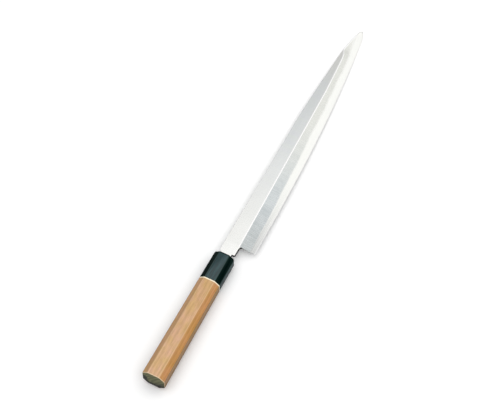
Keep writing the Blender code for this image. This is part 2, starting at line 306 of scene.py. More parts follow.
def edge_line(size, along):
    """Height of the cutting edge: nearly straight at the heel, a long belly, a small round tip."""
    belly = spine_line(size, size.length) + size.heel_depth - size.tip_round_below
    rise = belly * grown(along, size.length, size.length, BELLY_POWER)
    return rise - size.heel_depth + size.tip_round_below * tip_round(size, along)


def ridge_line(size, along):
    """Height of the ridge between flat and bevel, which hooks up to meet the spine."""
    start = size.bevel_width - size.heel_depth
    hook = spine_line(size, size.ridge_end) - start - size.ridge_rise - size.ridge_sweep
    rise = size.ridge_rise * grown(along, size.ridge_end, size.ridge_end)
    swept = grown(along, size.ridge_end, size.ridge_sweep_length, RIDGE_SWEEP_POWER)
    hooked = grown(along, size.ridge_end, size.ridge_hook_length, RIDGE_HOOK_POWER)
    return start + rise + size.ridge_sweep * swept + hook * hooked


def front_height(size, along):
    """Thickness at the flat front, from the tang's end to the tip."""
    to_neck = grown(along, -1.0 * size.neck_length, size.tang_length)
    to_point = grown(along, size.ridge_end, size.ridge_end)
    to_tip = grown(along, size.length, size.length - size.ridge_end)
    body = mix(size.tang_end_thickness, size.neck_thickness, to_neck)
    body = body - (size.neck_thickness - size.point_thickness) * to_point
    return body - (size.point_thickness - size.tip_thickness) * to_tip


def steel_height(size, along):
    """Top of the hard steel above the back, with the slight wave that the hammer leaves."""
    share = limit(along / size.length)
    bulge = size.steel_bulge * sine(share * math.pi)
    height = mix(size.steel_thickness, size.steel_tip_thickness, share) + bulge
    for turn, start, part in WELD_WAVES:
        height = height + sine(along * turn + start) * size.weld_wave * part
    return height


def sizes_from(values):
    """The blade's sizes by name, as plain or wrapped numbers."""
    return SimpleNamespace(**{name.replace(" ", "_"): value for name, value in values.items()})


BLADE = sizes_from(BLADE_SIZES)


# Outline of the blank, from which the blade is ground.


def fillet(before, corner, after, radius, steps):
    """Points of the arc that rounds a corner between two straight sides."""
    before, corner, after = Vector(before), Vector(corner), Vector(after)
    back = (before - corner).normalized()
    ahead = (after - corner).normalized()
    half = back.angle(ahead) / 2
    centre = corner + (back + ahead).normalized() * (radius / math.sin(half))
    first = corner + back * (radius / math.tan(half)) - centre
    last = corner + ahead * (radius / math.tan(half)) - centre
    turn = first.angle_signed(last)
    points = []
    for step in range(steps + 1):
        arm = first.copy()
        arm.rotate(Matrix.Rotation(-turn * step / steps, 2))
        points.append(centre + arm)
    return points


def tang_top(x):
    """Upper edge of the tang at x."""
    return mix(TANG_ROOT_TOP, TANG_END_TOP, (HANDLE_LENGTH - x) / TANG_LENGTH)


def tang_bottom(x):
    """Lower edge of the tang at x."""
    return -mix(TANG_ROOT_BOTTOM, TANG_END_BOTTOM, (HANDLE_LENGTH - x) / TANG_LENGTH)


def blade_stations():
    """Distances from the heel to the tip, closest at the ridge's end and at the tip."""
    quarter = math.pi / 2
    body = [BLADE.ridge_end * math.sin(quarter * i / BODY_STATIONS) for i in range(BODY_STATIONS)]
    length = BLADE.length - BLADE.ridge_end
    point = [
        BLADE.ridge_end + length * math.sin(quarter * i / POINT_STATIONS)
        for i in range(POINT_STATIONS + 1)
    ]
    return body + point


def blank_outline():
    """Outline of blade, neck and tang, before anything is ground."""
    tang_low = (TANG_END_X, tang_bottom(TANG_END_X))
    tang_high = (TANG_END_X, tang_top(TANG_END_X))
    root_low = (SHOULDER_X, tang_bottom(SHOULDER_X))
    root_high = (SHOULDER_X, tang_top(SHOULDER_X))
    shoulder_low = (SHOULDER_X, -NECK_DEPTH)
    shoulder_high = (SHOULDER_X, BLADE.spine_height)
    notch = (HEEL_X, -NECK_DEPTH)
    heel = (HEEL_X, -BLADE.heel_depth)
    heel_spine = (HEEL_X, BLADE.spine_height)
    stations = blade_stations()
    edge_stations = stations[FIRST_EDGE_STATION:]
    first_edge = (HEEL_X + edge_stations[0], edge_line(BLADE, edge_stations[0]))
    outline = fillet(tang_high, tang_low, root_low, TANG_END_ROUND, TANG_END_STEPS)
    outline.append(Vector(root_low))
    outline += fillet(root_low, shoulder_low, notch, SHOULDER_ROUND, NECK_STEPS)
    outline += fillet(shoulder_low, notch, heel, NOTCH_ROUND, NECK_STEPS)
    outline += fillet(notch, heel, first_edge, HEEL_ROUND, HEEL_STEPS)
    outline += [Vector((HEEL_X + u, edge_line(BLADE, u))) for u in edge_stations]
    outline += [Vector((HEEL_X + u, spine_line(BLADE, u))) for u in reversed(stations[:-1])]
    outline += fillet(heel_spine, shoulder_high, root_high, SHOULDER_ROUND, NECK_STEPS)
    outline.append(Vector(root_high))
    outline += fillet(root_high, tang_high, tang_low, TANG_END_ROUND, TANG_END_STEPS)
    return outline


def loft(rings):
    """Closed bmesh skin through rings with equal numbers of points, capped at both ends."""
    bm = bmesh.new()
    layers = [[bm.verts.new(point) for point in ring] for ring in rings]
    count = len(rings[0])
    for near, far in zip(layers, layers[1:]):
        for i in range(count):
            j = (i + 1) % count
            bm.faces.new((near[i], near[j], far[j], far[i]))
    bm.faces.new(layers[0])
    bm.faces.new(layers[-1])
    return bm


def add_object(name, bm):
    """Turn a bmesh into a named object with outward faces."""
    bmesh.ops.recalc_face_normals(bm, faces=bm.faces)
    mesh = bpy.data.meshes.new(name)
    bm.to_mesh(mesh)
    bm.free()
    obj = bpy.data.objects.new(name, mesh)
    bpy.context.scene.collection.objects.link(obj)
    return obj


def blank():
    """Flat bar with the blade's outline, thicker than the blade on both sides."""
    outline = blank_outline()
    heights = (BACK_Z - OVERCUT, BACK_Z + NECK_THICKNESS + OVERCUT)
    return loft([[(p.x, p.y, z) for p in outline] for z in heights])


# Geometry Nodes that grind the blank.


def stepped(number, stops):
    """Value that runs evenly from stop to stop; each stop is (steps to the next, value)."""
    total = stops[0][1]
    start = 0
    for (count, here), after in zip(stops, stops[1:]):
        total = total + (after[1] - here) * limit((number - start) / count)
        start += count
    return total


def steps_in(stops):
    """All steps from the first stop to the last."""
    return sum(stop[0] for stop in stops[:-1])


def tube(bench, rows, columns, place):
    """Closed form through rows of rings. place gives each point; the end rings close to a point."""
    sides = {"Vertices X": rows + 1, "Vertices Y": columns + 1, "Size X": rows, "Size Y": columns}
    grid = bench.add("GeometryNodeMeshGrid", None, sides)
    spot = bench.add("GeometryNodeInputPosition")
    x, y = bench.split(spot.outputs[0])[:2]
    point = place(x + rows / 2, y + columns / 2)
    where = bench.add("ShaderNodeCombineXYZ", None, dict(enumerate(point)))
    moved = bench.add(
        "GeometryNodeSetPosition",
        None,
        {"Geometry": grid.outputs[0], "Position": where.outputs[0]},
    )
    joined = bench.add(
        "GeometryNodeMergeByDistance",
        None,
        {"Geometry": moved.outputs[0], "Distance": MERGE_DISTANCE},
    )
    return joined.outputs[0]


def ground_form(bench, size):
    """Form between the ground front and the hollow back, over the whole length of the knife."""
    start = -1.0 * size.neck_length - size.tang_length - OVERCUT
    end = size.length + OVERCUT
    stops = [start, start, -1.0 * size.neck_length, 0.0]
    stops += [size.ridge_end - size.ridge_hook_length, size.ridge_end]
    stops += [size.length - CLOSE_ROWS, size.length - CLOSEST_ROWS, size.length, end]
    lengths = list(zip(KNIFE_STEPS, stops)) + [(0, end)]
    rows = steps_in(lengths)
    turn_over = sum(FRONT_STEPS)
    columns = turn_over + 1 + sum(BACK_STEPS) + 1

    def place(row, column):
        along = stepped(row, lengths)
        low, high = edge_line(size, along), spine_line(size, along)
        spread = most(NARROWEST_GRIND - (high - low), 0.0) / 2
        low, high = low - spread, high + spread
        middle = (low + high) / 2
        ease = least(size.spine_ease, (high - low) * SPINE_EASE_SHARE)
        fine = least(size.edge_bevel_width, (high - low) * EDGE_BEVEL_SHARE)
        front = front_height(size, along)
        fine_height = least(size.edge_bevel_height, front * EDGE_HEIGHT_SHARE)
        hooked = grown(along, size.ridge_end, size.ridge_hook_length)
        rounding = size.ridge_round * (1.0 + RIDGE_ROUND_LEFT - hooked)
        ridge = least(ridge_line(size, along), high - ease - 2.0 * rounding)
        lines = (low - OVERCUT, low + fine, ridge - rounding, ridge + rounding, high - ease)
        across = list(zip(FRONT_STEPS, lines))
        across.append((1, high + OVERCUT))

        # Hollow of the back, inside its flat rim.
        hollow_start = size.hollow_heel_rim
        hollow_end = size.length - size.hollow_point_rim
        inside = least(along - hollow_start, hollow_end - along) / size.hollow_runout
        runout = 1.0 - (1.0 - limit(inside)) * (1.0 - limit(inside))
        rim_high, rim_low = high - size.hollow_spine_rim, low + size.hollow_edge_rim
        half = (rim_high - rim_low) / 2 * root(runout) + HOLLOW_LEAST_HALF
        centre = (rim_high + rim_low) / 2
        across += list(zip(BACK_STEPS, (high + OVERCUT, centre + half, centre - half)))
        across += [(1, low - OVERCUT), (0, low - OVERCUT)]
        y = stepped(column, across)

        # Ground front: flat and bevel with a soft ridge, then the fine edge and the eased spine.
        slope = (front - fine_height) / (ridge - low - fine)
        bevel = front - (ridge - y) * slope
        top = bench.math("SMOOTH_MIN", front, bevel, rounding * slope)
        fine_drop = (y - low - fine) * (fine_height - size.edge_thickness) / fine
        top = least(top, fine_height + fine_drop)
        past = most(y - high + ease, 0.0)
        top = least(top, front - past * past / (2.0 * ease))
        back = most((half * half - (y - centre) * (y - centre)) / (2.0 * size.wheel_radius), 0.0)
        on_back = limit(column - turn_over) - limit(column - (columns - 1))
        z = mix(top, back, on_back)
        open_ring = limit(row) * limit(rows - row)
        y = mix(middle, y, open_ring)
        z = mix(fine_height, z, open_ring)
        return HEEL_X + along, y, BACK_Z + z

    return tube(bench, rows, columns, place)


def steel_form(bench, size, gap):
    """Space below the weld, from the neck to past the tip."""
    start = -STEEL_INTO_NECK - gap
    end = size.length + OVERCUT
    lengths = [(1, start), (WELD_STEPS, start), (1, end), (0, end)]
    rows = steps_in(lengths)
    low, high = -1.0 * size.heel_depth - OVERCUT, size.spine_height + OVERCUT

    def place(row, column):
        along = stepped(row, lengths)
        open_ring = limit(row) * limit(rows - row)
        y = mix(low, high, limit(column) - limit(column - 2.0))
        z = mix(steel_height(size, along) + gap, -DEEP, limit(column - 1.0) - limit(column - 3.0))
        return HEEL_X + along, mix(0.0, y, open_ring), BACK_Z + mix(-DEEP / 2, z, open_ring)

    return tube(bench, rows, 4, place)


def grinding(name, operation, gap, material):
    """Geometry Nodes group that grinds the blank and keeps one side of the weld."""
    tree = bpy.data.node_groups.new(name, "GeometryNodeTree")
    tree.is_modifier = True
    tree.interface.new_socket("Blank", in_out="INPUT", socket_type="NodeSocketGeometry")
    for size_name in BLADE_SIZES:
        socket = tree.interface.new_socket(size_name, in_out="INPUT", socket_type="NodeSocketFloat")
        socket.subtype = "DISTANCE"
    tree.interface.new_socket("Blade", in_out="OUTPUT", socket_type="NodeSocketGeometry")
    bench = Bench(tree)
    given = bench.add("NodeGroupInput")
    size = sizes_from({n: Num(bench, given.outputs[n]) for n in BLADE_SIZES})
    ground = bench.add(
        "GeometryNodeMeshBoolean",
        {"operation": "INTERSECT", "solver": "EXACT"},
        {"Mesh 2": [given.outputs["Blank"], ground_form(bench, size)]},
    )
    below = steel_form(bench, size, gap)
    if operation == "DIFFERENCE":
        feeds = {"Mesh 1": ground.outputs[0], "Mesh 2": below}
    else:
        feeds = {"Mesh 2": [ground.outputs[0], below]}
    kept = bench.add("GeometryNodeMeshBoolean", {"operation": operation, "solver": "EXACT"}, feeds)
    real = bench.add("GeometryNodeRealizeInstances", None, {0: kept.outputs[0]})
    painted = bench.add(
        "GeometryNodeSetMaterial",
        None,
        {"Geometry": real.outputs[0], "Material": material},
    )
    bench.add("NodeGroupOutput", None, {"Blade": painted.outputs[0]})
    return tree


def finished(obj, name, sharp_above):
    """Plain mesh of an object with its modifiers, laid down where the solids lie."""
    graph = bpy.context.evaluated_depsgraph_get()
    shaped = obj.evaluated_get(graph)
    mesh = bpy.data.meshes.new_from_object(shaped, preserve_all_data_layers=True, depsgraph=graph)
    mesh.name = name
    mesh.transform(LAID_DOWN)
    mesh.shade_smooth()
    mesh.set_sharp_from_angle(angle=math.radians(sharp_above))
    piece = bpy.data.objects.new(name, mesh)
    bpy.context.scene.collection.objects.link(piece)
    return piece


def grind_blade(name, operation, gap, material):
    """One layer of the blade, as a plain mesh."""
    bar = add_object(name + "_bar", blank())
    modifier = bar.modifiers.new("grinding", "NODES")
    modifier.node_group = grinding(name + "_grinding", operation, gap, material)
    for item in modifier.node_group.interface.items_tree:
        if item.in_out == "INPUT" and item.name in BLADE_SIZES:
            modifier[item.identifier] = BLADE_SIZES[item.name]
    piece = finished(bar, name, SHARP_ON_BLADE)
    bpy.data.objects.remove(bar)
    return piece


# Handle.


def cut(obj, form, operation):
    """Add an exact Boolean of the form to the object."""
    modifier = obj.modifiers.new(form.name, "BOOLEAN")
    modifier.solver = "EXACT"
    modifier.operation = operation
    modifier.object = form


def handle_ring(x):
    """Octagonal section of the handle at x."""
    share = x / HANDLE_LENGTH
    height = mix(BUTT_HEIGHT, FRONT_HEIGHT, share) / 2
    depth = mix(BUTT_THICKNESS, FRONT_THICKNESS, share) / 2
    flat_y = height - mix(BUTT_CORNER_HEIGHT, FRONT_CORNER_HEIGHT, share)
    flat_z = depth - mix(BUTT_CORNER_DEPTH, FRONT_CORNER_DEPTH, share)
    quarter = [(height, flat_z), (flat_y, depth)]
    upper = quarter + [(-y, z) for y, z in reversed(quarter)]
    return [(x, y, z) for y, z in upper + [(-y, -z) for y, z in upper]]


def octagon_body(name, start, end, start_ease, end_ease, material):
    """Tapered octagonal bar with every edge eased by its own width."""
    bm = loft([handle_ring(start), handle_ring(end)])
    widest = max(start_ease, end_ease)
    weight = bm.edges.layers.float.new("bevel_weight_edge")
    middle = (start + end) / 2
    for edge in bm.edges:
        lengthwise = (edge.verts[0].co.x < middle) != (edge.verts[1].co.x < middle)
        at_start = edge.verts[0].co.x < middle
        ease = FACET_EASE if lengthwise else start_ease if at_start else end_ease
        edge[weight] = ease / widest
    obj = add_object(name, bm)
    obj.data.materials.append(material)
    easing = obj.modifiers.new("eased_edges", "BEVEL")
    easing.limit_method = "WEIGHT"
    easing.width = widest
    easing.segments = EASE_SEGMENTS
    return obj


def turned_form(name, profile):
    """Round form about the handle's axis through (x, radius) points."""
    turns = [2 * math.pi * i / ROUND_SIDES for i in range(ROUND_SIDES)]
    rings = [[(x, r * math.cos(a), r * math.sin(a)) for a in turns] for x, r in profile]
    return add_object(name, loft(rings))


def tang_hole_form():
    """Tapered slot for the tang, a clearance larger than it all round."""
    rings = []
    for x in (TANG_END_X - TANG_HOLE_SPARE, HANDLE_LENGTH + OVERCUT):
        low, high = tang_bottom(x) - FIT_GAP, tang_top(x) + FIT_GAP
        back, front = BACK_Z - FIT_GAP, BACK_Z + front_height(BLADE, x - HEEL_X) + FIT_GAP
        rings.append([(x, low, back), (x, high, back), (x, high, front), (x, low, front)])
    return add_object("tang_hole_form", loft(rings))


def make_handle(wood, horn):
    """Grip and ferrule as plain meshes, with the tenon, its socket and the tang's hole."""
    hole = tang_hole_form()
    grip_front = GRIP_LENGTH - TOUCHING / 2
    grip_bar = octagon_body("grip_bar", 0.0, grip_front, BUTT_EASE, JOINT_EASE, wood)
    tenon_end = GRIP_LENGTH + TENON_LENGTH
    tenon_sides = [(GRIP_LENGTH - TENON_ROOT, TENON_RADIUS), (tenon_end, TENON_RADIUS)]
    tenon = turned_form("tenon_form", tenon_sides)
    cut(grip_bar, tenon, "UNION")
    cut(grip_bar, hole, "DIFFERENCE")
    ferrule_back = GRIP_LENGTH + TOUCHING / 2
    ferrule_bar = octagon_body(
        "ferrule_bar", ferrule_back, HANDLE_LENGTH, FERRULE_BACK_EASE, NOSE_ROUND, horn
    )
    bore = TENON_RADIUS + FIT_GAP
    socket = turned_form(
        "socket_form", [(GRIP_LENGTH - OVERCUT, bore), (tenon_end + SOCKET_SPARE, bore)]
    )
    cut(ferrule_bar, socket, "DIFFERENCE")
    cut(ferrule_bar, hole, "DIFFERENCE")
    pieces = []
    for bar, name in ((grip_bar, "wooden_grip"), (ferrule_bar, "horn_ferrule")):
        evening = bar.modifiers.new("even_normals", "WEIGHTED_NORMAL")
        evening.keep_sharp = True
        pieces.append(finished(bar, name, SHARP_ON_HANDLE))
    for form in (hole, tenon, socket, grip_bar, ferrule_bar):
        bpy.data.objects.remove(form)
    return pieces


# Materials. A pair of colours holds the darker and the lighter end of one pattern. BY, FROM, UNTIL
# and BEHIND are places along the blade, counted from the heel. FADE and OVER are the lengths of
# soft changes.

SCALE_COLOR = (0.012, 0.008, 0.007)
SCALE_ROUGHNESS = 0.6
SCALE_STOPS_BEHIND = 0.2 * MM
SCALE_STOPS_OVER = 0.5 * MM
SCALE_SIDE_FADE = 1.0 * MM
SCALE_THINS_BELOW = 8.8 * MM
SCALE_THINS_OVER = 3.0 * MM
SCALE_THINNED = 0.4
# The band of scale over the neck's lower edge is also painted shade along that edge.
SCALE_CREEP = 0.25 * MM
SCALE_CREEP_FADE = 0.35 * MM
SCALE_CREEP_BEHIND = 3.4 * MM
SCALE_CREEP_OVER = 1.8 * MM

# Painted reflection: the flat turns bluish and greenish over the middle of the blade.
FLAT_AT_HEEL = ((0.93, 0.935, 0.905), (0.995, 0.995, 0.97))
FLAT_BLUISH = ((0.91, 0.935, 0.955), (0.965, 0.985, 1.0))
FLAT_GREENISH = ((0.915, 0.955, 0.935), (0.97, 1.0, 0.98))
REFLECTION_TINT_BY = 150.0 * MM
REFLECTION_TINT_UNTIL = 190.0 * MM
REFLECTION_TINT_FADE = 40.0 * MM
# Painted highlight: a white band along the ridge, which runs on under the spine past the ridge's
# end.
RIDGE_PAINTED_HIGHLIGHT = (1.0, 1.0, 0.99)
RIDGE_UNDER_SPINE = 0.8 * MM
RIDGE_HIGHLIGHT_ABOVE = 0.15 * MM
RIDGE_HIGHLIGHT_HALF = 0.65 * MM
RIDGE_FADE = 0.4 * MM

HAZE_AT_HEEL = ((0.52, 0.555, 0.555), (0.71, 0.74, 0.74))
HAZE_STEELY = ((0.54, 0.60, 0.64), (0.74, 0.79, 0.82))
HAZE_LIGHT = ((0.78, 0.79, 0.745), (0.91, 0.915, 0.865))
HAZE_UNDER_RIDGE = 0.35 * MM
HAZE_STEELY_BY = 80.0 * MM
HAZE_LIGHT_BY = 170.0 * MM
HEEL_FADE = 1.0 * MM
# Painted highlight on the bevel towards the point.
POINT_PAINTED_HIGHLIGHT = (0.98, 0.985, 0.94)
POINT_FROM = 241.0 * MM
POINT_FADE = 10.0 * MM

WELD_FRAY = 0.16 * MM
WELD_FADE = 0.28 * MM
STRIP_STREAKED = ((0.56, 0.57, 0.57), (0.87, 0.875, 0.87))
STRIP_CLEAN = ((0.93, 0.935, 0.90), (0.97, 0.97, 0.935))
STREAKS_BEHIND = 40.0 * MM
STREAKS_OVER = 130.0 * MM
HOLLOW_COLORS = ((0.66, 0.675, 0.68), (0.86, 0.865, 0.86))
HOLLOW_FADE = 0.03 * MM
METAL_RELIEF = 0.0010 * MM

# Horn colours: the broad flats with painted reflection, the corner facets with painted shade.
HORN_FLAT_LIT = ((0.003, 0.022, 0.025), (0.022, 0.078, 0.084))
HORN_CORNER_SHADED = ((0.001, 0.006, 0.005), (0.008, 0.024, 0.020))
# Painted highlight along the horn's arrises.
HORN_ARRIS_HIGHLIGHT = (0.10, 0.16, 0.15)
HORN_RELIEF = 0.003 * MM

WOOD_DARK = ((0.49, 0.300, 0.135), (0.55, 0.335, 0.215))
WOOD_LIGHT = ((0.67, 0.450, 0.210), (0.73, 0.450, 0.305))
# Painted highlight along the arrises between the broad facets, and painted shade along the side
# arrises.
WOOD_ARRIS_HIGHLIGHT = (0.92, 0.72, 0.50)
WOOD_SIDE_ARRIS_SHADE = (0.17, 0.13, 0.075)
WOOD_PORE = (0.36, 0.19, 0.09)
# Painted highlight at the wood's edge against the ferrule.
WOOD_LIP_HIGHLIGHT = (1.0, 0.90, 0.68)
END_GRAIN = ((0.112, 0.118, 0.056), (0.228, 0.228, 0.120))
# Painted shade and painted shadow on the lower part of the butt's end grain.
END_GRAIN_SHADE = (0.016, 0.017, 0.013)
END_GRAIN_SHADOW = (0.004, 0.004, 0.003)
# Painted highlight on the butt's upper rim and painted shadow on its lower rim.
BUTT_RIM_HIGHLIGHT = (0.95, 0.78, 0.56)
UNDER_RIM_SHADOW = (0.012, 0.012, 0.010)
WOOD_RELIEF = 0.02 * MM

RING_SPACING = 2.9 * MM
RING_SWAY = 7.0 * MM
PITH_BELOW = 34.0 * MM
PITH_BEHIND = 19.0 * MM
CORNER_FADE = 9.0 * MM
SIDE_TOP = 4.0 * MM
SIDE_FADE = 10.0 * MM
END_FADE = 9.0 * MM
END_UNDER_FADE = 5.0 * MM
LIP_FADE = 0.30 * MM
RIM_WIDTH = 1.3 * MM
RIM_FADE = 0.40 * MM

# Tints that multiply the wood's colour: painted shade on the corner facets near and away, a tint
# along the grip, and painted shade on the sides low and high, darker towards the floor.
CORNER_SHADE_TINTS = ((0.81, 0.76, 0.65), (0.93, 0.735, 0.47))
LENGTH_TINTS = ((1.0, 1.0, 1.0), (0.96, 0.94, 0.88))
SIDE_SHADE_TINTS = ((0.82, 0.78, 0.68), (0.47, 0.44, 0.39))


def new_material(name):
    """Material with a bench, its Principled shader, and coordinates in the knife's own frame."""
    material = bpy.data.materials.new(name)
    material.use_nodes = True
    bench = Bench(material.node_tree)
    shader = material.node_tree.nodes["Principled BSDF"]
    lift = LAID_DOWN.inverted()
    source = bench.add("ShaderNodeTexCoord").outputs["Object"]
    knife = bench.add(
        "ShaderNodeMapping",
        {"vector_type": "POINT"},
        {"Vector": source, "Location": lift.translation, "Rotation": lift.to_euler()},
    )
    return material, bench, shader, knife.outputs[0]


def noise(bench, place, scale, detail=2.0, roughness=0.5, shift=(0.0, 0.0, 0.0)):
    """Noise from 0 to 1, with its own fineness along each axis in cycles a metre."""
    spread = bench.add(
        "ShaderNodeMapping",
        {"vector_type": "POINT"},
        {"Vector": place, "Scale": scale, "Location": shift},
    )
    made = bench.add(
        "ShaderNodeTexNoise",
        {"noise_dimensions": "3D"},
        {"Vector": spread.outputs[0], "Scale": 1.0, "Detail": detail, "Roughness": roughness},
    )
    return Num(bench, made.outputs[0])


def blend(bench, share, first, second):
    """Colour between two colours or colour sockets."""
    first = first if isinstance(first, bpy.types.NodeSocket) else (*first, 1.0)
    second = second if isinstance(second, bpy.types.NodeSocket) else (*second, 1.0)
    node = bench.add("ShaderNodeMix", {"data_type": "RGBA"}, {0: share, 6: first, 7: second})
    return node.outputs[2]


def relief(bench, height, depth):
    """Normal for a surface whose height, from 0 to 1, spans the given depth."""
    node = bench.add("ShaderNodeBump", None, {"Height": height, "Distance": depth, "Strength": 1.0})
    return node.outputs[0]


def facing(bench):
    """Coordinates of the surface's normal."""
    node = bench.add("ShaderNodeNewGeometry")
    return bench.split(node.outputs["Normal"])


def tinted(bench, color, tint):
    """Colour multiplied by a tint."""
    settings = {"data_type": "RGBA", "blend_type": "MULTIPLY"}
    return bench.add("ShaderNodeMix", settings, {0: 1.0, 6: color, 7: tint}).outputs[2]


def on_corners(normal_y, normal_z):
    """1 on the four narrow corner facets of the handle, 0 on its broad flats."""
    return smooth(size_of(normal_y) * size_of(normal_z) * 6.0 - 1.0)


def on_sides(normal_y):
    """1 on the two upright facets of the handle, towards the edge and towards the spine."""
    return smooth(size_of(normal_y) * 4.0 - 2.8)


def on_arris(normal_y, normal_z):
    """1 along the eased edges between the handle's facets."""
    lean = least(size_of(normal_y), size_of(normal_z))
    return smooth(1.0 - size_of(lean - 0.38) / 0.30)


def on_scale(along, y, normal_z):
    """1 on the unpolished walls under the neck and in the notch, fading towards the heel's tip."""
    wall = 1.0 - smooth(size_of(normal_z) * 4.0 - 1.4)
    behind = 1.0 - smooth((along + SCALE_STOPS_BEHIND) / SCALE_STOPS_OVER)
    lower = smooth(y / -SCALE_SIDE_FADE - 2.0)
    thinned = mix(1.0, SCALE_THINNED, smooth((y + SCALE_THINS_BELOW) / -SCALE_THINS_OVER))
    return wall * behind * lower * thinned


def scale_and_shade_over_edge(along, y):
    """1 in the thin band where the scale of the neck's lower wall creeps over its edge; this band
    also paints the shade along that edge.
    """
    past_neck = most(along + NOTCH_ROUND, 0.0)
    above_notch = most(y + NECK_DEPTH + NOTCH_ROUND, 0.0)
    inward = root(past_neck * past_neck + above_notch * above_notch) - NOTCH_ROUND
    near = 1.0 - smooth((inward - SCALE_CREEP) / SCALE_CREEP_FADE)
    return near * (1.0 - smooth((along + SCALE_CREEP_BEHIND) / SCALE_CREEP_OVER))


def worked_steel(bench, knife, along):
    """Colour of the polished strip: streaked and greyer at the heel, clean towards the tip."""
    clouds = noise(bench, knife, (45.0, 90.0, 90.0), 3.0, 0.55, (2.0, 1.0, 0.0))
    drawn = noise(bench, knife, (7.0, 850.0, 850.0), 3.0, 0.6)
    clean = blend(bench, clouds, *STRIP_CLEAN)
    streaked = blend(bench, smooth(drawn * 3.0 - 1.0), *STRIP_STREAKED)
    return blend(bench, smooth((along + STREAKS_BEHIND) / STREAKS_OVER), streaked, clean)


def finish_metal(bench, shader, scale, color, rough, height):
    """Bare metal with its colour, roughness and relief, dark and dull where it carries scale."""
    bench.feed(shader.inputs["Base Color"], blend(bench, scale, color, SCALE_COLOR))
    bench.feed(shader.inputs["Metallic"], 1.0 - scale)
    shader.inputs["Specular IOR Level"].default_value = 0.0
    bench.feed(shader.inputs["Roughness"], mix(rough, SCALE_ROUGHNESS, scale))
    bench.feed(shader.inputs["Normal"], relief(bench, height, METAL_RELIEF))


def soft_iron():
    """Satin flat, a painted highlight along the ridge, and a hazed bevel with fine cross scratches.
    """
    material, bench, shader, knife = new_material("soft_iron")
    x, y, z = bench.split(knife)
    along = x - HEEL_X

    # Zones of the front, from the ridge down to the weld.
    below_ridge = least(ridge_line(BLADE, along), spine_line(BLADE, along) - RIDGE_UNDER_SPINE) - y
    ahead_of_heel = smooth(along / HEEL_FADE + 1.0)
    hazed = smooth((below_ridge - HAZE_UNDER_RIDGE) / RIDGE_FADE) * ahead_of_heel
    # Painted highlight along the ridge.
    off_ridge_highlight = size_of(below_ridge + RIDGE_HIGHLIGHT_ABOVE) - RIDGE_HIGHLIGHT_HALF
    ridge = (1.0 - smooth(off_ridge_highlight / RIDGE_FADE)) * ahead_of_heel
    hairlines = noise(bench, knife, (12.0, 2600.0, 2600.0), 3.0, 0.6)
    cross = noise(bench, knife, (900.0, 70.0, 70.0), 3.0, 0.65)
    frayed = (cross - 0.5) * WELD_FRAY
    above_weld = smooth((z - BACK_Z - steel_height(BLADE, along) + frayed) / WELD_FADE + 0.12)

    # Flat, with a painted highlight in a white band along the ridge.
    bands = noise(bench, knife, (190.0, 14.0, 14.0), 2.0, 0.6, (3.1, 0.0, 0.0))
    clouds = noise(bench, knife, (38.0, 60.0, 60.0), 3.0, 0.55, (0.0, 5.2, 0.0))
    # Painted reflection: share of the bluish and greenish tint along the blade.
    painted_reflection = smooth(along / REFLECTION_TINT_BY) * (1.0 - smooth((along - REFLECTION_TINT_UNTIL) / REFLECTION_TINT_FADE))
    polish = smooth((clouds * 0.4 + hairlines * 0.3 + cross * 0.3) * 2.4 - 0.7)
    warm_flat = blend(bench, polish, *FLAT_AT_HEEL)
    bluish = blend(bench, polish, *FLAT_BLUISH)
    greenish = blend(bench, polish, *FLAT_GREENISH)
    painted_reflection_flat = blend(bench, smooth(bands * 2.4 - 0.7), bluish, greenish)
    flat = blend(bench, ridge, blend(bench, painted_reflection, warm_flat, painted_reflection_flat), RIDGE_PAINTED_HIGHLIGHT)

    # Haze on the bevel, heavy and steely at the heel and light towards the point.
    haze = smooth((clouds * 0.30 + bands * 0.28 + cross * 0.42) * 3.0 - 1.0)
    heavy = blend(bench, haze, *HAZE_AT_HEEL)
    heavy = blend(bench, smooth(along / HAZE_STEELY_BY), heavy, blend(bench, haze, *HAZE_STEELY))
    light = blend(bench, haze, *HAZE_LIGHT)
    misty = blend(bench, smooth(along / HAZE_LIGHT_BY), heavy, light)
    # Painted highlight: the haze is lightened towards the point.
    point_highlight = smooth((along - POINT_FROM) / POINT_FADE)
    misty = blend(bench, point_highlight * 0.7, misty, POINT_PAINTED_HIGHLIGHT)
    misty = blend(bench, above_weld, worked_steel(bench, knife, along), misty)

    # Scale on the neck's walls, and a dark band over the neck's lower edge that is partly scale and
    # partly painted shade.
    scale = most(on_scale(along, y, facing(bench)[2]), scale_and_shade_over_edge(along, y))
    color = blend(bench, hazed, flat, misty)
    rough = mix(0.10 + hairlines * 0.05, 0.22 + haze * 0.10, hazed * above_weld)
    finish_metal(bench, shader, scale, color, rough, mix(hairlines, cross, hazed))
    return material


def hard_steel():
    """Polished strip and edge in front; lengthwise grinding in the hollow of the back."""
    material, bench, shader, knife = new_material("hard_steel")
    x, y, z = bench.split(knife)
    along = x - HEEL_X
    normal_z = facing(bench)[2]
    on_back = smooth(normal_z * -4.0 - 1.0)
    hairlines = noise(bench, knife, (10.0, 2400.0, 2400.0), 3.0, 0.6)
    wheel_marks = noise(bench, knife, (5.0, 700.0, 300.0), 4.0, 0.7)
    in_hollow = smooth((z - BACK_Z) / HOLLOW_FADE) * on_back
    front = worked_steel(bench, knife, along)
    hollow = blend(bench, wheel_marks, *HOLLOW_COLORS)
    scale = on_scale(along, y, normal_z)
    color = blend(bench, in_hollow, front, hollow)
    rough = mix(0.10 + hairlines * 0.05, 0.26 + wheel_marks * 0.14, in_hollow)
    finish_metal(bench, shader, scale, color, rough, mix(hairlines, wheel_marks, in_hollow))
    return material


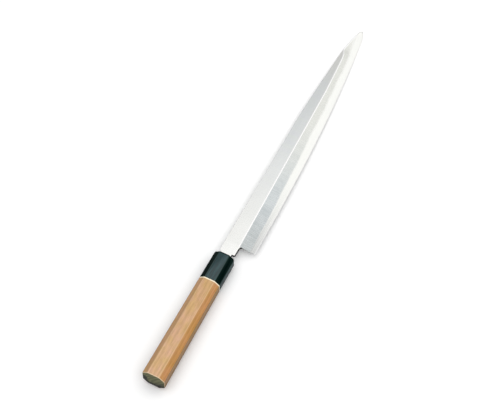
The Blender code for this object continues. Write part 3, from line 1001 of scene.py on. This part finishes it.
def black_horn():
    """Buffalo horn: nearly black with faint greenish fibres, its broad flats buffed to a shine and
    coloured lighter and bluer as painted reflection, its corner facets and nose darker as painted
    shade, and a painted highlight along its arrises.
    """
    material, bench, shader, knife = new_material("black_horn")
    normal_x, normal_y, normal_z = facing(bench)
    fibres = noise(bench, knife, (35.0, 420.0, 420.0), 4.0, 0.6)
    clouds = noise(bench, knife, (60.0, 150.0, 150.0), 2.0, 0.5, (1.7, 0.0, 0.4))
    scuffs = noise(bench, knife, (1600.0, 260.0, 260.0), 2.0, 0.5)
    depth = smooth(fibres * 2.2 - 0.7) * smooth(clouds * 1.8 - 0.25)
    # Painted shade on the corner facets and the nose; painted reflection on the broad flats.
    corner = most(on_corners(normal_y, normal_z), smooth(normal_x * 4.0 - 0.7))
    color = blend(bench, corner, blend(bench, depth, *HORN_FLAT_LIT), blend(bench, depth, *HORN_CORNER_SHADED))
    # Painted highlight along the horn's arrises.
    arris = on_arris(normal_y, normal_z) * (1.0 - smooth(normal_x * 4.0))
    color = blend(bench, arris * 0.6, color, HORN_ARRIS_HIGHLIGHT)
    bench.feed(shader.inputs["Base Color"], color)
    bench.feed(shader.inputs["Roughness"], 0.25 + scuffs * 0.15)
    dulled = corner * 0.95 + (1.0 - corner) * on_sides(normal_y) * 0.72
    bench.feed(shader.inputs["Coat Weight"], 1.0 - dulled)
    shader.inputs["Coat IOR"].default_value = 1.6
    shader.inputs["Coat Roughness"].default_value = 0.12
    shader.inputs["Specular IOR Level"].default_value = 0.0
    height = fibres * 0.7 + scuffs * 0.3
    bench.feed(shader.inputs["Normal"], relief(bench, height, HORN_RELIEF))
    return material


def pale_wood():
    """Fine sanded magnolia: faint growth rings and fibres along the grip, darker end grain, with
    painted shade and painted highlights on its facets, edges and butt.
    """
    material, bench, shader, knife = new_material("pale_wood")
    x, y, z = bench.split(knife)
    normal_x, normal_y, normal_z = facing(bench)
    drift = noise(bench, knife, (9.0, 40.0, 40.0), 2.0, 0.5)
    sway = (drift - 0.5) * RING_SWAY
    pith_y, pith_z = y + PITH_BELOW + sway, z + PITH_BEHIND + sway * 0.6
    radius = root(pith_y * pith_y + pith_z * pith_z)
    rings = sine(radius * (2 * math.pi / RING_SPACING) + drift * 3.0) * 0.5 + 0.5
    fibres = noise(bench, knife, (40.0, 1500.0, 1500.0), 3.0, 0.6)
    streaks = noise(bench, knife, (75.0, 620.0, 620.0), 4.0, 0.65, (4.0, 0.0, 2.0))
    patches = noise(bench, knife, (75.0, 120.0, 120.0), 3.0, 0.6, (0.0, 2.4, 0.0))
    hairs = noise(bench, knife, (150.0, 6500.0, 6500.0), 2.0, 0.6, (1.0, 0.0, 0.0))
    pores = noise(bench, knife, (190.0, 2600.0, 2600.0), 1.0, 0.5, (0.0, 0.0, 7.0))
    pore_dots = smooth(pores * 6.0 - 3.7)

    # Long grain.
    mottle = smooth(patches * 2.2 - 0.6)
    grain = rings * 0.08 + streaks * 0.34 + fibres * 0.30 + hairs * 0.28
    dark = blend(bench, mottle, *WOOD_DARK)
    light = blend(bench, mottle, *WOOD_LIGHT)
    color = blend(bench, smooth(grain * 3.0 - 0.97), dark, light)

    # Facets: painted shade on the corner facets and on the sides, a tint along the grip on the
    # broad flats, pores, and painted highlights and painted shade along the eased edges.
    # Painted shade on the corner facets, different on each side.
    corner_shade = blend(bench, smooth(y / -CORNER_FADE), *CORNER_SHADE_TINTS)
    length_tint = blend(bench, smooth(x / GRIP_LENGTH), *LENGTH_TINTS)
    # Painted shade: the side facets darken towards the floor.
    side_shade = blend(bench, smooth((z - SIDE_TOP) / -SIDE_FADE), *SIDE_SHADE_TINTS)
    tint = blend(bench, on_corners(normal_y, normal_z), length_tint, corner_shade)
    color = tinted(bench, color, blend(bench, on_sides(normal_y), tint, side_shade))
    color = blend(bench, pore_dots * 0.45, color, WOOD_PORE)
    arris = on_arris(normal_y, normal_z)
    at_side = smooth((size_of(normal_y) - size_of(normal_z)) * 4.0)
    # Painted highlight along the arrises between the broad facets.
    color = blend(bench, arris * (1.0 - at_side) * 0.30, color, WOOD_ARRIS_HIGHLIGHT)
    # Painted shade: a dark line along the side arrises.
    color = blend(bench, arris * at_side * 0.65, color, WOOD_SIDE_ARRIS_SHADE)

    # End grain of the butt, with painted shade darker towards its underside and a near-black
    # painted shadow along its lower rim.
    end = smooth(normal_x * -4.0 - 2.0)
    end_fleck = noise(bench, knife, (300.0, 1700.0, 1700.0), 3.0, 0.65)
    end_ring = rings * 0.25 + end_fleck * 0.45 + patches * 0.30
    end_color = blend(bench, smooth(end_ring * 2.4 - 0.7), *END_GRAIN)
    shaded_downward = smooth((z + y * 0.6) / -END_FADE)
    end_color = blend(bench, shaded_downward * 0.7, end_color, END_GRAIN_SHADE)
    across_flats = most(size_of(y) / BUTT_HEIGHT, size_of(z) / BUTT_THICKNESS) * 2.0
    reach = most(across_flats, (size_of(y) + size_of(z)) / BUTT_ACROSS_CORNERS)
    shaded_underneath = smooth((z - y * 0.45) / -END_UNDER_FADE + 0.35)
    lower = smooth((reach - 0.44) / 0.20) * shaded_underneath
    end_color = blend(bench, lower * 0.95, end_color, END_GRAIN_SHADOW)
    color = blend(bench, end, color, end_color)

    # Painted highlight as a pale lip against the ferrule, and on the eased rim of the butt a
    # painted highlight above and a painted shadow below.
    lip_highlight = smooth((x - GRIP_LENGTH) / LIP_FADE + 4.6)
    color = blend(bench, lip_highlight * 0.95, color, WOOD_LIP_HIGHLIGHT)
    # Painted highlight on the upper rim of the butt, painted shadow on its lower rim.
    rim = smooth((RIM_WIDTH - x) / RIM_FADE) * (1.0 - end)
    color = blend(bench, rim * 0.55 * (1.0 - shaded_underneath), color, BUTT_RIM_HIGHLIGHT)
    color = blend(bench, rim * shaded_underneath, color, UNDER_RIM_SHADOW)
    bench.feed(shader.inputs["Base Color"], color)
    bench.feed(shader.inputs["Roughness"], 0.50 + fibres * 0.14)
    shader.inputs["Specular IOR Level"].default_value = 0.15
    height = fibres * 0.5 + hairs * 0.3 + rings * 0.2 - pore_dots * 0.4
    bench.feed(shader.inputs["Normal"], relief(bench, height, WOOD_RELIEF))
    return material


# Floor, light and camera.

FLOOR_REACH = 4.0
FLOOR_SEEN = ((0.985, 0.985, 0.985), (1.0, 1.0, 1.0))
FLOOR_BOUNCE = (0.42, 0.42, 0.42)
SKY_OVERHEAD = 1.03
SKY_PAST_TIP = 0.49
SKY_SEAM = 0.28
SKY_LOW = 0.10

# Where the sky changes, in the coordinates of a direction of length 1.
PAST_TIP_FROM = 0.665
PAST_TIP_FADE = 0.075
SEAM_ASIDE = 0.15
SEAM_FADE = 0.10
LOW_UP_TO = 0.30
LOW_FADE = 0.40
HORIZON_UP_TO = 0.06
HORIZON_FADE = 0.12

GLOW_POWER = 1.15
GLOW_SPREAD = 75.0
GLOW_DIRECTION = (0.0, 0.12, -1.0)
CAMERA_LENS = 161.041
CAMERA_SENSOR = 36.0
CAMERA_PLACE = (-0.865048, -0.462272, 1.889058)
CAMERA_TURN = (27.3116, 0.97771, -62.90368)


def seen_rays(bench):
    """1 for rays from the camera, from gloss and through glass, as three numbers."""
    path = bench.add("ShaderNodeLightPath")
    names = ("Is Camera Ray", "Is Glossy Ray", "Is Transmission Ray")
    return [Num(bench, path.outputs[name]) for name in names]


def lay_floor():
    """White paper to the eye and to gloss; it throws less light back at the knife."""
    material = bpy.data.materials.new("floor_paper")
    material.use_nodes = True
    bench = Bench(material.node_tree)
    shader = material.node_tree.nodes["Principled BSDF"]
    source = bench.add("ShaderNodeTexCoord")
    fibre = noise(bench, source.outputs["Object"], (900.0, 900.0, 900.0), 2.0)
    camera, glossy, transmitted = seen_rays(bench)
    seen = most(most(camera, glossy), transmitted)
    paper = blend(bench, fibre, *FLOOR_SEEN)
    bench.feed(shader.inputs["Base Color"], blend(bench, seen, FLOOR_BOUNCE, paper))
    shader.inputs["Roughness"].default_value = 0.9
    shader.inputs["Specular IOR Level"].default_value = 0.1
    mesh = bpy.data.meshes.new("floor")
    signs = ((-1, -1), (1, -1), (1, 1), (-1, 1))
    corners = [(FLOOR_REACH * i, FLOOR_REACH * j, 0.0) for i, j in signs]
    mesh.from_pydata(corners, [], [(0, 1, 2, 3)])
    mesh.materials.append(material)
    floor = bpy.data.objects.new("floor", mesh)
    bpy.context.scene.collection.objects.link(floor)


def light_studio():
    """Overhead softness with dimmer sides, a white backdrop, and one broad glow from above."""
    world = bpy.data.worlds.new("studio")
    bpy.context.scene.world = world
    world.use_nodes = True
    tree = world.node_tree
    tree.nodes.clear()
    bench = Bench(tree)
    source = bench.add("ShaderNodeTexCoord")
    x, y, z = bench.split(source.outputs["Generated"])

    # Light from each direction: dimmer past the tip, in a soft seam, and low down.
    past_tip = smooth((x + y - PAST_TIP_FROM) / PAST_TIP_FADE)
    seam = 1.0 - smooth(size_of(y + SEAM_ASIDE) / SEAM_FADE)
    overhead = SKY_OVERHEAD - past_tip * SKY_PAST_TIP - seam * SKY_SEAM
    low = 1.0 - smooth((z - LOW_UP_TO) / LOW_FADE)
    overhead = mix(overhead, SKY_LOW, low)

    # White backdrop for the camera and through glass, and near the horizon also in gloss.
    camera, glossy, transmitted = seen_rays(bench)
    near_horizon = 1.0 - smooth((size_of(z) - HORIZON_UP_TO) / HORIZON_FADE)
    backdrop = most(most(camera, transmitted), glossy * near_horizon)
    background = bench.add(
        "ShaderNodeBackground",
        None,
        {"Color": (1.0, 1.0, 1.0, 1.0), "Strength": mix(overhead, 1.0, backdrop)},
    )
    bench.add("ShaderNodeOutputWorld", None, {"Surface": background.outputs[0]})

    lamp = bpy.data.lights.new("overhead_glow", "SUN")
    lamp.energy = GLOW_POWER
    lamp.angle = math.radians(GLOW_SPREAD)
    glow = bpy.data.objects.new("overhead_glow", lamp)
    glow.rotation_euler = Vector(GLOW_DIRECTION).to_track_quat("-Z", "Y").to_euler()
    glow.visible_glossy = False
    bpy.context.scene.collection.objects.link(glow)


def place_camera():
    """Camera at the photograph's angle and distance."""
    lens = bpy.data.cameras.new("camera")
    lens.lens = CAMERA_LENS
    lens.sensor_width = CAMERA_SENSOR
    camera = bpy.data.objects.new("camera", lens)
    camera.location = CAMERA_PLACE
    camera.rotation_euler = Euler([math.radians(angle) for angle in CAMERA_TURN])
    bpy.context.scene.collection.objects.link(camera)
    bpy.context.scene.camera = camera


def main():
    """Make the four pieces, let them stand for their solids, and set the stage."""
    iron = grind_blade("iron_body", "DIFFERENCE", TOUCHING, soft_iron())
    steel = grind_blade("steel_layer", "INTERSECT", 0.0, hard_steel())
    grip, ferrule = make_handle(pale_wood(), black_horn())
    stands_for = (
        (iron, "blade_iron", "soft_iron"),
        (steel, "edge_steel", "hard_steel"),
        (ferrule, "ferrule", "black_horn"),
        (grip, "grip", "pale_wood"),
    )
    for piece, node, slot in stands_for:
        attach(piece, "root")
        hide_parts(node)
    lay_floor()
    light_studio()
    place_camera()
    bpy.context.scene.view_settings.view_transform = "Standard"


main()
